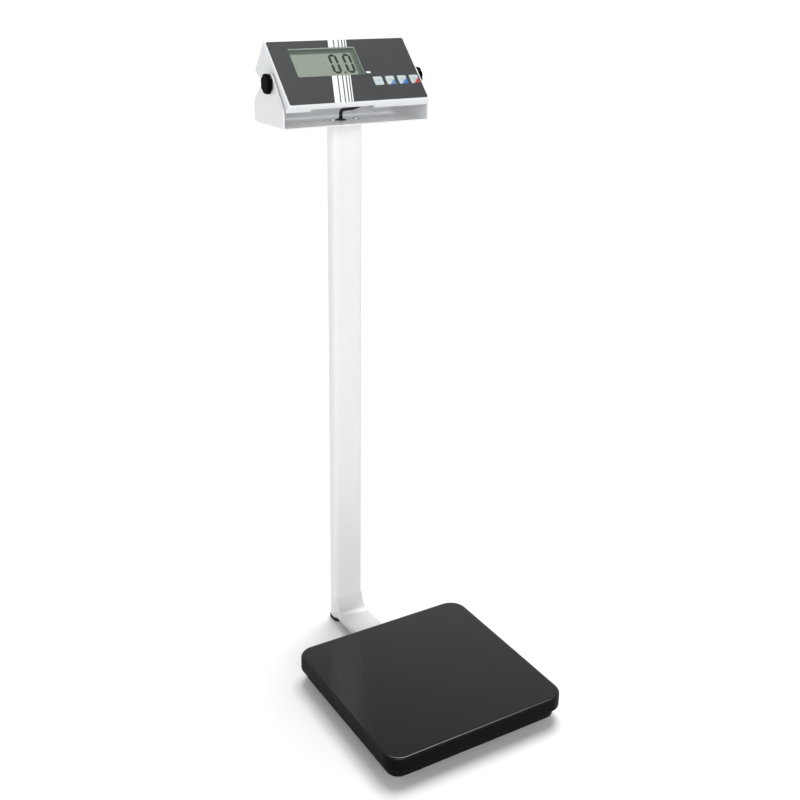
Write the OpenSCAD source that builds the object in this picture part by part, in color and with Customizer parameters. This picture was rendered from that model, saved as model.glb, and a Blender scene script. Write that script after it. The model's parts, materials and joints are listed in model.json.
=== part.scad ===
// Column scale: a low weighing platform, a column on a foot bar behind it, and a tilting display on top.
// Origin on the floor under the middle of the whole scale, +Z up, +Y from the platform to the column.

/* [Platform] */
// Width of the weighing plate
plate_w = 305; // [290:1:340]
// Depth of the weighing plate
plate_d = 300; // [290:1:335]
// Height of the plate's top above the floor
plate_top = 47; // [46:0.5:56]
// Radius of the plate's corners seen from above
plate_corner = 27; // [15:1:40]
// Depth of the plate's folded flange
flange_h = 22; // [18:1:23]
// How far the base stands in from the flange
base_inset = 9; // [7:0.5:12]

/* [Stand] */
// Distance from the middle of the plate to the column
stand_reach = 265; // [230:1:300]
// Width of the column
column_w = 52; // [46:1:60]
// Depth of the column
column_d = 26; // [24:1:34]
// Height of the column's top above the floor
column_top = 853; // [600:1:1100]
// Thickness of the foot bar
bar_h = 12; // [11:0.5:12]

/* [Display] */
// Width of the front foil
foil_w = 227; // [220:1:250]
// Height of the front foil, measured along its slope
foil_h = 111.4; // [108:0.2:120]
// Tilt of the foil from horizontal
tilt = 45.7; // [30:0.1:60]
// Height of the pivot above the column's top
pivot_rise = 60.5; // [58:0.5:75]
// Diameter of the clamp knobs
knob_dia = 29; // [24:1:36]
// Side of a key
key_side = 15.2; // [12:0.1:16]

/* [Hidden] */
$fn = 48;
sheet = 2;                  // steel sheet of the base, bracket and frame
pan_sheet = 2.5;            // steel sheet of the weighing plate
wall = 2.5;                 // plastic wall of the housing
fit = 0.05;                 // running clearance on a radius
gap = 0.2;                  // clearance between fixed pieces

// Platform levels, from the top down
pan_under = plate_top - pan_sheet;
pad_h = 1.5;
frame_top = pan_under - pad_h;
frame_under = frame_top - 2.5;
upper_spacer_h = 3.5;
spacer_gap = 1.1;           // left under the upper spacer for the plate to sink
cell_top = frame_under - upper_spacer_h;
cell_h = 22;
cell_under = cell_top - cell_h;
lower_spacer_h = 4;
floor_top = cell_under - lower_spacer_h;
floor_under = floor_top - sheet;
base_w = plate_w - 2 * base_inset;
base_d = plate_d - 2 * base_inset;
base_corner = plate_corner - base_inset;
base_rim = plate_top - 15;
cell_l = 130;
cell_w = 30;
cell_screw_x = [39, 57];
rail_x = 95;
stop_y = 105;
foot_x = base_w / 2 - 29;
foot_y = base_d / 2 - 29;
foot_pad_h = floor_under - 2;

// Places along Y
house_reach = 58.9;         // from the column to the housing's rearmost edge
total_d = plate_d / 2 + stand_reach + house_reach;
plate_y = (plate_d - total_d) / 2;
column_y = plate_y + stand_reach;

// Stand
tube = 2;
column_foot = 6;
bar_under = floor_under;
bar_top = bar_under + bar_h;
bar_mid = (bar_under + bar_top) / 2;
bar_front = 62;             // from the middle of the plate
elbow_r = 26;               // weld fillet from the column into the bar
saddle_top = bar_top + gap + sheet;
bolt_x = 16;
bolt_y = [76, 120];
cable_d = 5.5;
cable_x = -6;

// Display, in a frame at the pivot: X right, Y up the slope of the foil, Z out of the foil
pivot_z = column_top + pivot_rise;
foil_low = -54;
foil_top = foil_low + foil_h;
face = 20;
border = 3;
house_w = foil_w + 2 * border;
split = face - 6;
house_low = foil_low - border;
house_top = foil_top + border;
house_front = [house_low, face - 15];
house_back = [51, -35];
slope = atan2(house_back.y - house_front.y, house_back.x - house_front.x);
under_z = house_front.y - house_front.x * tan(slope);
recess_x = [-78, 25];
window_x = [-84, 25];
window_y = [-7, 44];
key_x = [42, 62.6, 83.2, 103.8];
key_y = -20;
board_top = 9.6;
board_under = 8;
travel = 0.4;
battery_x = 66;
board_screws_at = [for (x = [-94, 94]) for (y = [-33, 48]) [x, y]];
house_screws_at = [for (x = [-106, 106]) for (y = [-47, 47.5]) [x, y]];
function screw_seat(y) = y < 0 ? 5 : -8;
cheek_in = house_w / 2 + 1.7;
cheek_t = 2.5;
cheek_out = cheek_in + cheek_t;
washer_t = 1.5;
stud_r = 2.95;
lug_r = 14;
bracket_front = -43;
bracket_back = 55;
plate_t = 2.5;
bracket_screw_x = 19.5;
bracket_rim = 18.5;         // height of the bracket's rear edge, folded up

// Routes of the two cables
floor_cable_z = bar_mid;
column_route = [
    [-50, plate_y + 15.2, 25], [-50, plate_y + 27, 25], [-42, plate_y + 40, floor_cable_z],
    [-16, plate_y + 56, floor_cable_z], [cable_x, plate_y + 74, floor_cable_z],
    [cable_x, column_y, floor_cable_z], [cable_x, column_y, column_top + plate_t + 1.6]];
gland = [-49, 6.2];
gland_y = column_y + gland.x * cos(tilt) - gland.y * sin(tilt);
gland_z = pivot_z + gland.x * sin(tilt) + gland.y * cos(tilt);
display_route = [
    [recess_x[1] - 5, gland_y, gland_z], [9, gland_y, gland_z], [0, column_y - 31, pivot_z - 37],
    [-5, column_y - 14, pivot_z - 40], [cable_x, column_y, pivot_z - 43.5],
    [cable_x, column_y, column_top + plate_t + 1.8]];

// ---- Shapes and curves ----

function unit(v) = v / norm(v);

// Points of an arc round c, from angle a to angle b
function arc(c, r, a, b, n = 8) =
    [for (i = [0 : n]) let (t = a + (b - a) * i / n) c + r * [cos(t), sin(t)]];

// Corner p of the path a-p-b, cut back by r and curved
function curved(a, p, b, r, n = 5) =
    let (c = min(r, norm(a - p) * 0.49, norm(b - p) * 0.49), s = p + unit(a - p) * c,
        e = p + unit(b - p) * c)
    [for (i = [0 : n]) let (t = i / n) (1 - t) * (1 - t) * s + 2 * t * (1 - t) * p + t * t * e];

// Closed outline with every corner curved, r being one radius for each point
function soft(pts, r) = let (n = len(pts))
    [for (i = [0 : n - 1]) each curved(pts[(i + n - 1) % n], pts[i], pts[(i + 1) % n], r[i])];

module rounded(w, d, r) {
    x = w / 2 - r;
    y = d / 2 - r;
    polygon([each arc([x, y], r, 0, 90), each arc([-x, y], r, 90, 180), each arc([-x, -y], r, 180, 270),
        each arc([x, -y], r, 270, 360)]);
}

module slab(w, d, r, z0, z1) translate([0, 0, z0]) linear_extrude(z1 - z0) rounded(w, d, r);

module rod(r, z0, z1) translate([0, 0, z0]) cylinder(r = r, h = z1 - z0);

// Extrudes an outline of the YZ plane along X
module along_x(x0, x1) translate([x0, 0, 0]) rotate([90, 0, 90]) linear_extrude(x1 - x0) children();

module box(x, y, z) translate([x[0], y[0], z[0]]) cube([x[1] - x[0], y[1] - y[0], z[1] - z[0]]);

// Route with its corners curved: the centreline of a cable
function centreline(pts, r, n = 6) = let (e = len(pts) - 1)
    [pts[0], for (i = [1 : e - 1]) each curved(pts[i - 1], pts[i], pts[i + 1], r, n), pts[e]];

// Tube swept along a centreline, its rings squared to the reference direction side
module swept(line, d, side, sides = 8) {
    e = len(line) - 1;
    function along(i) = unit(line[min(i + 1, e)] - line[max(i - 1, 0)]);
    function ring(i) = let (n = unit(cross(along(i), side)), m = cross(along(i), n))
        [for (j = [0 : sides - 1]) let (a = j * 360 / sides) line[i] + d / 2 * (cos(a) * n + sin(a) * m)];
    faces = [[for (j = [0 : sides - 1]) j], [for (j = [0 : sides - 1]) (e + 1) * sides - 1 - j],
        for (i = [0 : e - 1]) for (j = [0 : sides - 1]) let (a = i * sides, k = (j + 1) % sides)
            each [[a + j, a + sides + j, a + sides + k], [a + j, a + sides + k, a + k]]];
    polyhedron(points = [for (i = [0 : e]) each ring(i)], faces = faces, convexity = 6);
}

module hex_nut(af, h) cylinder(r = af / sqrt(3), h = h, $fn = 6);

// ---- Frames of reference ----

module in_platform() translate([0, plate_y, 0]) children();
module in_stand() translate([0, column_y, 0]) children();
module at_pivot() translate([0, column_y, pivot_z]) children();
module in_display() at_pivot() rotate([tilt, 0, 0]) children();
// The housing's underside: Y along it to the rear, Z into the housing
module on_underside(x) translate([x, 0, under_z]) rotate([slope, 0, 0]) children();
module corners(x, y) for (s = [-1, 1]) for (t = [-1, 1]) translate([s * x, t * y, 0]) children();
module mirrored() for (s = [0, 1]) mirror([s, 0, 0]) children();

// ---- Platform ----

module weighing_plate() color("#2c2d2e") in_platform() difference() {
    union() {
        slab(plate_w, plate_d, plate_corner, plate_top - flange_h, plate_top - 1.5);
        slab(plate_w - 1.8, plate_d - 1.8, plate_corner - 0.9, plate_top - 1.5, plate_top - 0.5);
        slab(plate_w - 4, plate_d - 4, plate_corner - 2, plate_top - 0.5, plate_top);
    }
    slab(plate_w - 2 * pan_sheet, plate_d - 2 * pan_sheet, plate_corner - pan_sheet,
        plate_top - flange_h - 1, pan_under);
}

module plate_pads() color("#1b1b1b") in_platform() corners(rail_x, stop_y - 25)
    rod(10, frame_top, pan_under);

module plate_frame() color("silver") in_platform() difference() {
    union() {
        for (s = [-1, 1]) translate([s * rail_x, 0, 0]) {
            slab(34, 250, 6, frame_under, frame_top);
            for (t = [-1, 1]) box([t * 16 - 1, t * 16 + 1], [-115, 115], [frame_under - 6, frame_under]);
        }
        slab(2 * rail_x, 80, 4, frame_under, frame_top);
    }
    for (x = cell_screw_x) translate([x, 0, 0]) {
        rod(3.3, frame_under - 1, frame_top + 1);
        translate([0, 0, frame_top - 2.4]) cylinder(r1 = 3.3, r2 = 5.8, h = 2.5);
    }
}

module upper_spacer() color("gray") in_platform() difference() {
    box([30, cell_l / 2], [-cell_w / 2, cell_w / 2], [cell_top + spacer_gap, frame_under]);
    for (x = cell_screw_x) translate([x, 0, 0]) rod(3.3, cell_top - 1, frame_under + 1);
}

module cell_screws_upper() color("silver") in_platform() for (x = cell_screw_x) translate([x, 0, 0]) {
    rod(stud_r, cell_top - 12, frame_top - 2.5);
    translate([0, 0, frame_top - 2.5]) cylinder(r1 = stud_r, r2 = 5.4, h = 2.4);
}

module load_cell() color("lightgray") in_platform() difference() {
    box([-cell_l / 2, cell_l / 2], [-cell_w / 2, cell_w / 2], [cell_under, cell_top]);
    translate([0, 0, (cell_under + cell_top) / 2]) {
        for (x = [-13, 13]) translate([x, 0, 0]) rotate([90, 0, 0])
            cylinder(r = 8.5, h = cell_w + 2, center = true);
        cube([26, cell_w + 2, 4], center = true);
    }
    for (x = cell_screw_x) {
        translate([x, 0, 0]) rod(3, cell_top - 14, cell_top + 1);
        translate([-x, 0, 0]) rod(3, cell_under - 1, cell_under + 14);
    }
}

module lower_spacer() color("gray") in_platform() difference() {
    box([-cell_l / 2, -30], [-cell_w / 2, cell_w / 2], [floor_top, cell_under]);
    for (x = cell_screw_x) translate([-x, 0, 0]) rod(3.3, floor_top - 1, cell_under + 1);
}

module cell_screws_lower() color("silver") in_platform() for (x = cell_screw_x) translate([-x, 0, 0]) {
    rod(stud_r, floor_under, cell_under + 12);
    rod(5, floor_under - 3.5, floor_under);
}

module base_frame() color("#1d1d1e") in_platform() difference() {
    slab(base_w, base_d, base_corner, floor_under, base_rim);
    slab(base_w - 2 * sheet, base_d - 2 * sheet, base_corner - sheet, floor_top, base_rim + 1);
    box([-column_w / 2 - 0.6, column_w / 2 + 0.6], [bar_front - 4, base_d / 2 + 1],
        [floor_under - 1, bar_top + 0.6]);
    corners(foot_x, foot_y) rod(4.4, floor_under - 1, floor_top + 1);
    corners(rail_x, stop_y) rod(4.05, floor_under - 1, floor_top + 1);
    for (x = cell_screw_x) translate([-x, 0, 0]) rod(3.3, floor_under - 1, floor_top + 1);
}

module overload_stops() color("silver") in_platform() corners(rail_x, stop_y) {
    rod(4, floor_under, frame_under - 1.4);
    translate([0, 0, floor_top]) hex_nut(12, 5);
}

module foot_nuts() color("silver") in_platform() corners(foot_x, foot_y) difference() {
    translate([0, 0, floor_top]) hex_nut(14, 7);
    rod(4 + fit, floor_top - 1, floor_top + 8);
}

module levelling_foot(x, y) color("#161616") in_platform() translate([x, y, 0]) {
    rod(4, foot_pad_h, floor_top + 9);
    rotate_extrude() polygon([[0, 0], [14.5, 0], [16, 1.5], each curved([16, 1.5], [16, foot_pad_h],
        [6, foot_pad_h], 3), [0, foot_pad_h]]);
}

module foot_front_left() levelling_foot(-foot_x, -foot_y);
module foot_front_right() levelling_foot(foot_x, -foot_y);
module foot_rear_left() levelling_foot(-foot_x, foot_y);
module foot_rear_right() levelling_foot(foot_x, foot_y);

// ---- Stand ----

module stand_saddle() color("#1d1d1e") in_platform() difference() {
    union() {
        box([-column_w / 2 - 4, column_w / 2 + 4], [bar_front, base_d / 2 - sheet - gap],
            [bar_top + gap, saddle_top]);
        mirrored() {
            box([column_w / 2 + 2, column_w / 2 + 4], [bar_front, base_d / 2 - sheet - gap],
                [floor_top, saddle_top]);
            box([column_w / 2 + 2, column_w / 2 + 18], [bar_front, base_d / 2 - sheet - gap],
                [floor_top, floor_top + sheet]);
        }
    }
    for (s = [-1, 1]) for (y = bolt_y) translate([s * bolt_x, y, 0]) rod(3.3, bar_top, saddle_top + 1);
}

module foot_bar() color("#e9eaec") difference() {
    box([-column_w / 2, column_w / 2], [plate_y + bar_front, column_y - column_d / 2],
        [bar_under, bar_top]);
    box([-column_w / 2 + tube, column_w / 2 - tube], [plate_y + bar_front - 1, column_y],
        [bar_under + tube, bar_top - tube]);
    in_platform() for (s = [-1, 1]) for (y = bolt_y) translate([s * bolt_x, y, 0])
        rod(3, bar_under - 1, bar_top + 1);
}

// Weld fillet that carries the column's front down into the top of the bar
module elbow_fillet() color("#e9eaec") translate([0, column_y - column_d / 2, bar_top])
    along_x(-column_w / 2 + 1, column_w / 2 - 1)
        polygon([[0, 0], [0, elbow_r], each arc([-elbow_r, elbow_r], elbow_r - 0.5, 0, -90),
            [-elbow_r, 0]]);

module stand_bolts() color("silver") in_platform() for (s = [-1, 1]) for (y = bolt_y)
    translate([s * bolt_x, y, 0]) {
        rod(stud_r, bar_under, saddle_top);
        translate([0, 0, saddle_top]) hex_nut(10, 4);
    }

module column() color("#eeeff0") in_stand() difference() {
    slab(column_w, column_d, 8.5, column_foot, column_top);
    slab(column_w - 2 * tube, column_d - 2 * tube, 6.5, column_foot - 1, column_top + 1);
    box([-20, 12], [-column_d, 0], [bar_under + tube, bar_top - tube]);
}

module at_bracket_screws() for (x = [-bracket_screw_x, bracket_screw_x]) translate([x, 0, 0]) children();

// Block that fits inside the column's tube
module column_plug(z0, z1)
    slab(column_w - 2 * tube - 2 * gap, column_d - 2 * tube - 2 * gap, 6, z0, z1);

module column_foot_plug() color("#131313") in_stand() {
    slab(column_w + 2, column_d + 2, 9, 0, column_foot);
    column_plug(column_foot, column_foot + 4);
}

module column_insert() color("gray") in_stand() difference() {
    column_plug(column_top - 20, column_top);
    translate([cable_x, 0, 0]) rod(5, column_top - 21, column_top + 1);
    at_bracket_screws() rod(2.5, column_top - 15, column_top + 1);
}

module bracket_screws() color("silver") in_stand() at_bracket_screws() {
    rod(2.45, column_top - 13, column_top + plate_t);
    rod(4.6, column_top + plate_t, column_top + plate_t + 2.8);
}

module cable_grommet() color("#141414") in_stand() translate([cable_x, 0, column_top]) rotate_extrude()
    polygon([[cable_d / 2 + 0.1, 0.1], [6.3, 0.1], [6.3, plate_t + 0.1], [8, plate_t + 0.1],
        [8, plate_t + 0.9], [6.6, plate_t + 1.6], [cable_d / 2 + 0.1, plate_t + 1.6]]);

module column_cable() color("#101010") swept(centreline(column_route, 11), cable_d, [1, 0.02, 0]);

// Clip over the middle of the slanting run between the route's third and fourth points
module cable_clip() color("#202020") {
    run = column_route[3] - column_route[2];
    middle = column_route[2] + run / 2;
    translate([middle.x, middle.y, 0]) rotate([0, 0, atan2(run.y, run.x)]) difference() {
        box([-4, 4], [-5, 5], [floor_top, floor_cable_z + 4.4]);
        box([-5, 5], [-cable_d / 2 - 0.4, cable_d / 2 + 0.4], [floor_top - 1, floor_cable_z + 3.2]);
    }
}

// ---- Display bracket and knobs ----

// Corners of a cheek round the pivot: its lower rear and front corners, and the lug they run up to
cheek_rear = [bracket_back, -27];
cheek_front = [bracket_front, -32];
lug_from = atan2(cheek_rear.y, cheek_rear.x) + acos(lug_r / norm(cheek_rear));
lug_to = atan2(cheek_front.y, cheek_front.x) + 360 - acos(lug_r / norm(cheek_front));
cheek_outline = [each curved(cheek_front, [bracket_front, -pivot_rise], [0, -pivot_rise], 2),
    each curved([0, -pivot_rise], [bracket_back, -pivot_rise], cheek_rear, 9),
    each curved([bracket_back, -pivot_rise], cheek_rear, [0, lug_r], 6),
    each arc([0, 0], lug_r, lug_from, lug_to, 14),
    each curved([0, lug_r], cheek_front, [bracket_front, -pivot_rise], 5)];

// Section of the plate between the cheeks, folded up along its rear edge
rim_z = -pivot_rise + bracket_rim;
tray_outline = [[bracket_front + 1, -pivot_rise],
    each curved([0, -pivot_rise], [bracket_back, -pivot_rise], [bracket_back, rim_z], 9),
    [bracket_back, rim_z], [bracket_back - plate_t, rim_z],
    each curved([bracket_back - plate_t, rim_z], [bracket_back - plate_t, -pivot_rise + plate_t],
        [0, -pivot_rise + plate_t], 6.5),
    [bracket_front + 1, -pivot_rise + plate_t]];

module tilt_bracket() color("#e3e7ea") at_pivot() difference() {
    union() {
        mirrored() along_x(cheek_in, cheek_out) polygon(cheek_outline);
        along_x(-cheek_out + 1, cheek_out - 1) polygon(tray_outline);
    }
    rotate([0, 90, 0]) cylinder(r = stud_r + 0.08, h = 3 * house_w, center = true);
    translate([cable_x, 0, -pivot_rise]) rod(6.5, -1, plate_t + 1);
    translate([0, 0, -pivot_rise]) at_bracket_screws() rod(2.8, -1, plate_t + 1);
}

// Right-hand ring on the pivot axis
module pivot_ring(r, bore, x0, x1) rotate([0, 90, 0]) difference() {
    rod(r, x0, x1);
    rod(bore, x0 - 1, x1 + 1);
}

module friction_washers() color("#1a1a1a") at_pivot() mirrored()
    pivot_ring(11, stud_r + 0.3, house_w / 2, house_w / 2 + washer_t);

// Clamp knob with eight finger notches round its edge, and its threaded stud
module clamp_knob() color("#0f0f10") at_pivot() rotate([0, 90, 0]) {
    difference() {
        rotate_extrude() polygon([[0, cheek_out + 0.3], [8, cheek_out + 0.3], [9, cheek_out + 1],
            [knob_dia / 2 - 1, cheek_out + 1], [knob_dia / 2, cheek_out + 2],
            [knob_dia / 2, cheek_out + 6.2], [knob_dia / 2 - 2, cheek_out + 8], [0, cheek_out + 8.4]]);
        for (i = [0 : 7]) rotate([0, 0, i * 45]) translate([knob_dia / 2 + 2.2, 0, 0])
            rod(3.4, cheek_out, cheek_out + 9);
    }
    rod(stud_r, house_w / 2 - 14, cheek_out + 1);
}

module knob_right() clamp_knob();
module knob_left() mirror([1, 0, 0]) clamp_knob();

// ---- Display housing ----

house_outline = soft([house_front, house_back, [house_top, face], [house_low, face]], [2.5, 5, 3, 2]);
hollow_outline = soft([house_front + [wall, 1.75], house_back + [-wall - 1, wall + 1.45],
    [house_top - wall - 0.6, face - wall], [house_low + wall, face - wall]], [1, 3, 1, 1]);

module house_solid() along_x(-house_w / 2, house_w / 2) polygon(house_outline);
module house_hollow() along_x(-house_w / 2 + wall, house_w / 2 - wall) polygon(hollow_outline);

module housing_front() color("#eef1f3") in_display() difference() {
    union() {
        difference() {
            intersection() {
                house_solid();
                box([-200, 200], [-100, 100], [split, face]);
            }
            house_hollow();
        }
        for (p = house_screws_at) translate(p) rod(3.6, split, face - 1);
    }
    box(window_x, window_y, [face - wall - 1, face + 1]);
    for (x = key_x) translate([x, key_y, 0])
        slab(key_side + 0.6, key_side + 0.6, 2.3, face - wall - 1, face + 1);
    for (p = house_screws_at) translate(p) rod(1.5, split - 1, face - wall);
}

module housing_rear() color("#e6e9ec") in_display() difference() {
    union() {
        difference() {
            intersection() {
                house_solid();
                box([-200, 200], [-100, 100], [-100, split - 0.1]);
            }
            difference() {
                house_hollow();
                box([recess_x[0] - wall, recess_x[1] + wall], [-100, -41.5], [-100, split]);
            }
            box(recess_x, [-100, -44], [-100, split - wall]);
        }
        intersection() {
            house_solid();
            union() {
                mirrored() rotate([0, 90, 0]) rod(7.5, house_w / 2 - 16, house_w / 2 - 1);
                for (p = board_screws_at) translate(p) rod(3.5, -40, board_under);
                for (p = house_screws_at) translate(p) rod(3.8, -40, split - 0.1);
            }
        }
    }
    mirrored() rotate([0, 90, 0]) rod(5, house_w / 2 - 15, house_w / 2 + 1);
    on_underside(battery_x) box([-28, 28], [4, 36], [-12, 3]);
    for (p = board_screws_at) translate(p) rod(1.5, board_under - 12, board_under + 1);
    for (p = house_screws_at) translate(p) {
        rod(1.6, -41, split + 1);
        rod(3.2, -41, screw_seat(p.y));
    }
    translate([recess_x[1] + wall / 2, gland.x, gland.y]) rotate([0, 90, 0])
        cylinder(r = 3.4, h = 2 * wall, center = true);
}

module board_screws() color("silver") in_display() for (p = board_screws_at) translate(p) {
    rod(1.45, board_under - 10, board_top);
    rod(2.9, board_top, board_top + 2);
}

module housing_screws() color("silver") in_display() for (p = house_screws_at) translate(p) {
    rod(1.45, screw_seat(p.y), face - wall - 1);
    rod(2.9, screw_seat(p.y) - 2.2, screw_seat(p.y));
}

module pivot_inserts() color("goldenrod") at_pivot() mirrored()
    pivot_ring(4.95, stud_r + fit, house_w / 2 - 14.5, house_w / 2 - 0.1);

module front_foil() color("#505355") in_display() difference() {
    translate([0, foil_low + foil_h / 2, 0]) slab(foil_w, foil_h, 2, face, face + 0.4);
    box(window_x, window_y, [face - 1, face + 1]);
    for (x = key_x) translate([x, key_y, 0])
        slab(key_side + 0.6, key_side + 0.6, 2.3, face - 1, face + 1);
}

module lcd_window() color([0.75, 0.82, 0.78, 0.4]) in_display()
    box([window_x[0] + 0.15, window_x[1] - 0.15], [window_y[0] + 0.15, window_y[1] - 0.15],
        [face - wall + 0.1, face + 0.3]);

module lcd_module() color("#9aa596") in_display()
    box([window_x[0] - 2, window_x[1] + 2], [window_y[0] - 2, window_y[1] + 1],
        [face - 5, face - wall - 0.1]);

module lcd_holder() color("#303234") in_display() difference() {
    box([window_x[0] - 5, window_x[1] + 5], [window_y[0] - 5, window_y[1] + 4],
        [board_top + 0.1, face - wall - 0.2]);
    box([window_x[0] - 2.1, window_x[1] + 2.1], [window_y[0] - 2.1, window_y[1] + 1.1],
        [face - 5.1, face]);
    box([window_x[0] + 2, window_x[1] - 2], [window_y[0] + 2, window_y[1] - 3],
        [board_top - 1, face]);
}

module main_board() color("#1f5a38") in_display() difference() {
    box([-99, 101], [-38.5, 52], [board_under, board_top]);
    for (p = board_screws_at) translate(p) rod(1.7, board_under - 1, board_top + 1);
    for (p = house_screws_at) translate(p) rod(4.2, board_under - 1, board_top + 1);
}

module key_switches() color("#222222") in_display() for (x = key_x) translate([x, key_y, 0]) {
    box([-3, 3], [-3, 3], [board_top, board_top + 3.6]);
    rod(1.7, board_top + 3.6, face - 3.9 - travel);
}

// Key cap with the flange that holds it in and the plunger under it
module key_cap(i) color("#eef2f6") in_display() translate([key_x[i], key_y, 0]) {
    slab(key_side, key_side, 2, face - wall - 0.3, face + 0.7);
    slab(key_side - 1.2, key_side - 1.2, 1.6, face + 0.7, face + 0.9);
    slab(key_side + 2.4, key_side + 2.4, 2, face - wall - 1, face - wall - 0.2);
    rod(2.2, face - 3.8, face - wall - 1);
}

module key_mode() key_cap(0);
module key_hold() key_cap(1);
module key_tare() key_cap(2);
module key_power() key_cap(3);

module battery_box() color("#2a2a2a") in_display() on_underside(battery_x) difference() {
    box([-29.5, 29.5], [2.5, 37.5], [3.1, 24]);
    box([-28, 28], [4, 36], [3, 22.5]);
}

module battery_block() color("#37474f") in_display() on_underside(battery_x) {
    box([-24, 24], [6.5, 33.5], [3.4, 20.9]);
    for (y = [14, 26]) translate([24, y, 12]) rotate([0, 90, 0]) rod(3.2, 0, 2.2);
}

module battery_cover() color("#e1e5e8") in_display() on_underside(battery_x) {
    box([-27.7, 27.7], [4.3, 35.7], [0.2, 2.4]);
    for (y = [10, 30]) box([-22, 22], [y - 1, y + 1], [2.4, 3.2]);
}

module cable_gland() color("#121212") in_display() translate([recess_x[1], gland.x, gland.y])
    rotate([0, -90, 0]) difference() {
        union() {
            rod(3.3, -wall - 0.8, 0.2);
            translate([0, 0, 0.1]) cylinder(r1 = 4.4, r2 = 3.5, h = 8);
        }
        rod(cable_d / 2 + 0.2, -wall - 1, 9);
    }

module display_cable() color("#0e0e0e") swept(centreline(display_route, 9), cable_d, [0.15, 0.1, 1]);

weighing_plate();
plate_pads();
plate_frame();
upper_spacer();
cell_screws_upper();
load_cell();
lower_spacer();
cell_screws_lower();
base_frame();
overload_stops();
foot_nuts();
foot_front_left();
foot_front_right();
foot_rear_left();
foot_rear_right();
stand_saddle();
foot_bar();
elbow_fillet();
stand_bolts();
column();
column_foot_plug();
column_insert();
bracket_screws();
cable_grommet();
column_cable();
cable_clip();
tilt_bracket();
friction_washers();
knob_left();
knob_right();
housing_front();
housing_rear();
housing_screws();
board_screws();
pivot_inserts();
front_foil();
lcd_window();
lcd_module();
lcd_holder();
main_board();
key_switches();
key_mode();
key_hold();
key_tare();
key_power();
battery_box();
battery_block();
battery_cover();
cable_gland();
display_cable();
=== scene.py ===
"""Looks of the column scale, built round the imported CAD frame.

Shapes are drawn in mm and turned to metres.
"""

import json
import math

import bmesh
import bpy
from mathutils import Matrix, Vector


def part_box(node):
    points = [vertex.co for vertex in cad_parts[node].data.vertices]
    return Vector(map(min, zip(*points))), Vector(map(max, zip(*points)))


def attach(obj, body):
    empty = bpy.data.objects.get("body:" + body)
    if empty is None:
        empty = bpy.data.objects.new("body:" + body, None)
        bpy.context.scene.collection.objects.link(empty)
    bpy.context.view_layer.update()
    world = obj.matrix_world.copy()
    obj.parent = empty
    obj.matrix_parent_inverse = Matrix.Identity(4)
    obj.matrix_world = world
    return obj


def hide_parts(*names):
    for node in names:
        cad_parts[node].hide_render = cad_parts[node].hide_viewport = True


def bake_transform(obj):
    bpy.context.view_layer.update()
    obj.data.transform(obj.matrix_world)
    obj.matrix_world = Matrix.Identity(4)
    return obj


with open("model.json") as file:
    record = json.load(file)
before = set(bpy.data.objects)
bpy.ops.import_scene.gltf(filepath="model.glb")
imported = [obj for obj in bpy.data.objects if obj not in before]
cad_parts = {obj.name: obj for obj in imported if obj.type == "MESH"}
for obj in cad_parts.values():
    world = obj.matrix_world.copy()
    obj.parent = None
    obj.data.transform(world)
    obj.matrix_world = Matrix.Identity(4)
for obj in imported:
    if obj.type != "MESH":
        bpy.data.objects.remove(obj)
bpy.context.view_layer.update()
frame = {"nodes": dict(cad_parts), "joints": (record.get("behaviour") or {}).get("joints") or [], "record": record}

MM = 0.001
TILT = math.radians(45.7)  # the display's slope at rest


def joint_point(name):
    """Anchor of a joint, in mm."""
    found = next(j for j in frame["joints"] if j["name"] == name)
    return Vector(found["pos_m"]) / MM


def node_box(node):
    """(lowest corner, highest corner) of a CAD node, in mm."""
    low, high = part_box(node)
    return low / MM, high / MM


def middle(node):
    low, high = node_box(node)
    return (low + high) / 2


PIVOT = joint_point("display_tilt")
COLUMN = middle("column")
PLATE = middle("weighing_plate")
COLUMN_TOP = node_box("column")[1].z
DISPLAY = Matrix.Translation(PIVOT) @ Matrix.Rotation(TILT, 4, "X")

# The housing's side profile as (up the slope, out of the foil), and what follows from it
FACE = 20.0
SPLIT = 14.0
WALL = 2.5
HOUSE_W = 233.0
HOUSE_CORNERS = [(-57.0, 5.0), (51.0, -35.0), (60.4, 20.0), (-57.0, 20.0)]
HOUSE_ROUNDING = [2.5, 5, 3, 2]
HOLLOW_CORNERS = [(-54.5, 6.75), (47.5, -31.05), (57.3, 17.5), (-54.5, 17.5)]
HOLLOW_ROUNDING = [1, 3, 1, 1]
SLOPE = math.atan2(-40.0, 108.0)
UNDER_Z = 5.0 + 57.0 * math.tan(SLOPE)
UNDERSIDE = DISPLAY @ Matrix.Translation((66, 0, UNDER_Z)) @ Matrix.Rotation(SLOPE, 4, "X")
FOIL_W, FOIL_LOW, FOIL_TOP = 227.0, -54.0, 57.4
WINDOW_X, WINDOW_U = (-84.0, 25.0), (-7.0, 44.0)
RECESS_X = (-78.0, 25.0)
KEYS = {"key_mode": 42.0, "key_hold": 62.6, "key_tare": 83.2, "key_power": 103.8}
KEY_U = -20.0
KEY_SIDE = 15.2
HOUSE_SCREWS = [(x, u) for x in (-106, 106) for u in (-47, 47.5)]
SCREW_TIP = 16.5
GLAND = (-49.0, 6.2)

# The stand and the bracket, as seen from the pivot where they hang from it
COLUMN_W, COLUMN_D, COLUMN_CORNER = 52.0, 26.0, 8.5
CHEEK_IN = 118.2
PLATE_T = 2.5
CHEEK_OUT = CHEEK_IN + PLATE_T
PIVOT_RISE = 60.5
BRACKET_FRONT, BRACKET_BACK = -43.0, 55.0
LUG_R = 14.0
BRACKET_SCREW_X = 19.5
GRIP_R = 14.5
CABLE_D = 5.5
CABLE_X = -6.0


# ---- Outlines and meshes ----


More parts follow.
